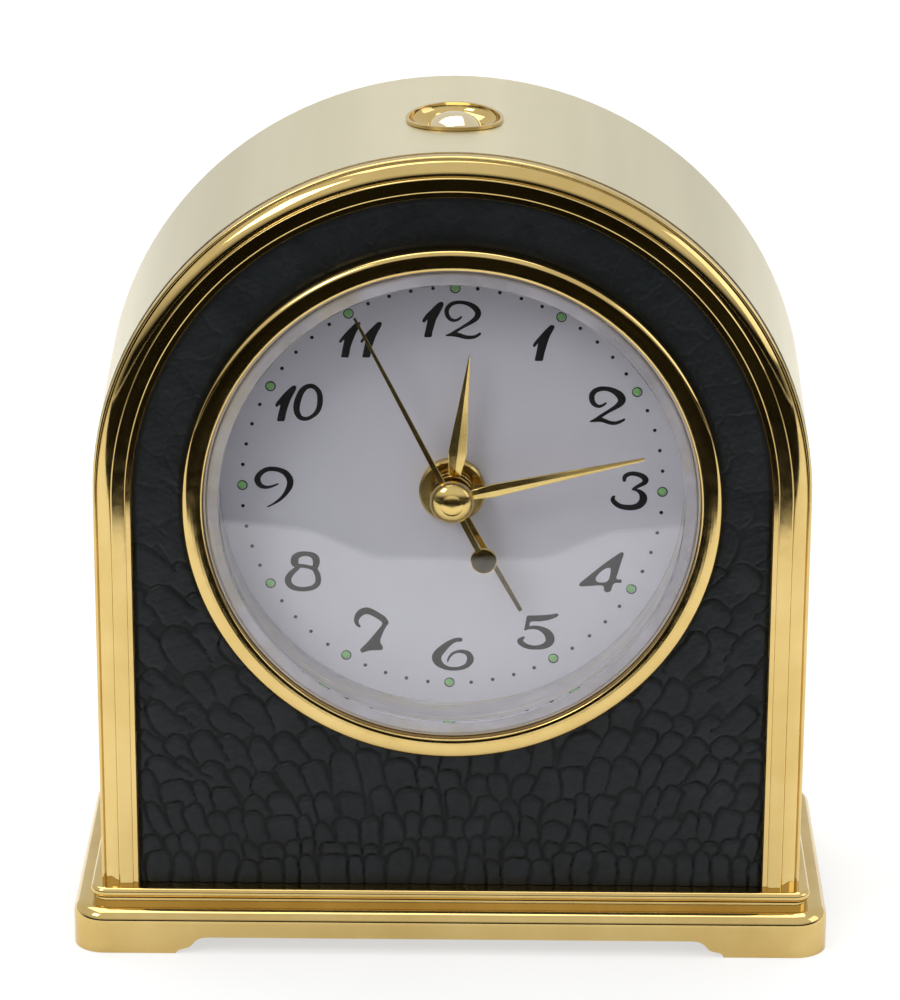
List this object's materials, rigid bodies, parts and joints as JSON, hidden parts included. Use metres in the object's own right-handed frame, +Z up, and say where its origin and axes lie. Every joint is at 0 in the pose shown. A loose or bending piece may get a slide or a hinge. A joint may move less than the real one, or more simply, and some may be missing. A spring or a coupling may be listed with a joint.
{
  "type": "travel alarm clock",
  "caption": "Arched gold-finish quartz travel alarm clock on a moulded plinth, embossed leather front panel, round analogue dial, top snooze button.",
  "frame": {"origin": "centre of the plinth's footprint, on the surface it stands on", "axes": "+Z up, the dial faces -Y, +X to the right as seen from the front"},
  "size_m": [0.08, 0.0352, 0.0875],
  "materials": {
    "polished_gold": "polished gold plate",
    "satin_champagne": "satin champagne gold plate, fine brushing along the arc",
    "black_croc_leather": "crocodile-embossed, semi-matte",
    "clear_plastic": "clear polished plastic",
    "dial_white": "matte white print ground",
    "hand_gold": "polished gilt",
    "black_plastic": "fine moulded texture",
    "white_plastic": "moulded acetal",
    "steel": "plain steel",
    "nickel": "nickel plate",
    "brass": "turned brass",
    "zinc": "cast weight, dull",
    "felt": "needled felt",
    "board_green": "solder-masked laminate",
    "epoxy_black": "cured epoxy",
    "copper": "enamelled copper wire",
    "ferrite": "sintered magnet",
    "cell_jacket": "plain shrink jacket",
    "red_plastic": "moulded"
  },
  "bodies": {
    "case": {"plinth": "polished_gold", "base_weight": "zinc", "base_felt": "felt", "plinth_screws": "steel", "case_wrap": "satin_champagne", "front_frame": "polished_gold", "backing_plate": "brass", "leather_panel": "black_croc_leather", "bezel": "polished_gold", "bezel_lock_ring": "steel", "crystal": "clear_plastic", "dial": "dial_white", "dial_nut": "hand_gold", "case_pillars": "steel", "back_cover": "black_plastic", "back_cover_screws": "nickel", "button_collar": "polished_gold", "button_spring": "steel", "snooze_contact": "nickel", "movement_front_housing": "black_plastic", "movement_rear_housing": "black_plastic", "movement_screws": "steel", "middle_plate": "white_plastic", "train_bridge": "white_plastic", "stator": "steel", "coil_bobbin": "white_plastic", "coil_winding": "copper", "circuit_board": "board_green", "ic_blob": "epoxy_black", "quartz_can": "nickel", "buzzer_disc": "brass", "buzzer_ring": "black_plastic", "battery_cell": "cell_jacket", "battery_contact_positive": "nickel", "battery_contact_negative": "nickel", "switch_contact": "nickel"},
    "seconds": {"seconds_wheel": "white_plastic", "seconds_hand": "hand_gold", "seconds_cap": "hand_gold"},
    "rotor": {"rotor_arbor": "white_plastic", "rotor_magnet": "ferrite"},
    "intermediate": {"intermediate_wheel": "white_plastic"},
    "third": {"third_wheel": "white_plastic"},
    "centre": {"centre_wheel": "brass"},
    "minute": {"cannon_pinion": "brass", "minute_hand": "hand_gold"},
    "minute_wheel_body": {"minute_wheel": "white_plastic"},
    "hour": {"hour_wheel": "white_plastic", "hour_hand": "hand_gold"},
    "time_set": {"time_set_arbor": "white_plastic", "time_set_knob": "black_plastic"},
    "alarm": {"alarm_wheel": "white_plastic", "alarm_hand": "hand_gold"},
    "alarm_idler_body": {"alarm_idler": "white_plastic"},
    "alarm_set": {"alarm_set_arbor": "white_plastic", "alarm_set_knob": "black_plastic"},
    "snooze_button": {"button_cap": "polished_gold", "button_clip": "steel"},
    "alarm_switch": {"alarm_switch_slider": "red_plastic"},
    "door": {"battery_door": "black_plastic"}
  },
  "joints": [
    {"name": "seconds_turn", "type": "hinge", "parent": "case", "child": "seconds", "pos_m": [0, -0.0148, 0.04965], "axis": [0, 1, 0], "continuous": true},
    {"name": "rotor_turn", "type": "hinge", "parent": "case", "child": "rotor", "pos_m": [0.00855, -0.0148, 0.0534], "axis": [0, 1, 0], "continuous": true},
    {"name": "intermediate_turn", "type": "hinge", "parent": "case", "child": "intermediate", "pos_m": [0.0054, -0.0148, 0.04965], "axis": [0, 1, 0], "continuous": true},
    {"name": "third_turn", "type": "hinge", "parent": "case", "child": "third", "pos_m": [0, -0.0148, 0.05865], "axis": [0, 1, 0], "continuous": true},
    {"name": "centre_turn", "type": "hinge", "parent": "case", "child": "centre", "pos_m": [0, -0.0148, 0.04965], "axis": [0, 1, 0], "continuous": true},
    {"name": "minute_turn", "type": "hinge", "parent": "case", "child": "minute", "pos_m": [0, -0.0148, 0.04965], "axis": [0, 1, 0], "continuous": true},
    {"name": "minute_wheel_turn", "type": "hinge", "parent": "case", "child": "minute_wheel_body", "pos_m": [0.0084, -0.0148, 0.04964], "axis": [0, 1, 0], "continuous": true},
    {"name": "hour_turn", "type": "hinge", "parent": "case", "child": "hour", "pos_m": [0, -0.0148, 0.04965], "axis": [0, 1, 0], "continuous": true},
    {"name": "time_set_turn", "type": "hinge", "parent": "case", "child": "time_set", "pos_m": [0.0155, -0.0148, 0.04515], "axis": [0, 1, 0], "continuous": true},
    {"name": "alarm_turn", "type": "hinge", "parent": "case", "child": "alarm", "pos_m": [0, -0.0148, 0.04965], "axis": [0, 1, 0], "continuous": true},
    {"name": "alarm_idler_turn", "type": "hinge", "parent": "case", "child": "alarm_idler_body", "pos_m": [-0.01092, -0.0148, 0.04947], "axis": [0, 1, 0], "continuous": true},
    {"name": "alarm_set_turn", "type": "hinge", "parent": "case", "child": "alarm_set", "pos_m": [-0.0155, -0.0148, 0.04515], "axis": [0, 1, 0], "continuous": true},
    {"name": "snooze_press", "type": "slide", "parent": "case", "child": "snooze_button", "axis": [0, 0, -1], "range_m": [0, 0.0012], "stiffness_N_per_m": 350, "springref_m": -0.0012, "deforming": ["button_spring"]},
    {"name": "alarm_switch_slide", "type": "slide", "parent": "case", "child": "alarm_switch", "axis": [1, 0, 0], "range_m": [0, 0.004]},
    {"name": "battery_door_hinge", "type": "hinge", "parent": "case", "child": "door", "pos_m": [0, 0.012, 0.02265], "axis": [-1, 0, 0], "range_deg": [0, 75]}
  ],
  "couplings": [
    {"joint": "rotor_turn", "follows": "seconds_turn", "ratio": 30},
    {"joint": "intermediate_turn", "follows": "seconds_turn", "ratio": -5},
    {"joint": "third_turn", "follows": "seconds_turn", "ratio": -0.125},
    {"joint": "centre_turn", "follows": "seconds_turn", "ratio": 0.016667},
    {"joint": "minute_wheel_turn", "follows": "minute_turn", "ratio": -0.33333},
    {"joint": "hour_turn", "follows": "minute_turn", "ratio": 0.083333},
    {"joint": "time_set_turn", "follows": "minute_turn", "ratio": 1},
    {"joint": "alarm_idler_turn", "follows": "alarm_turn", "ratio": -1.6},
    {"joint": "alarm_set_turn", "follows": "alarm_turn", "ratio": 3.2}
  ]
}
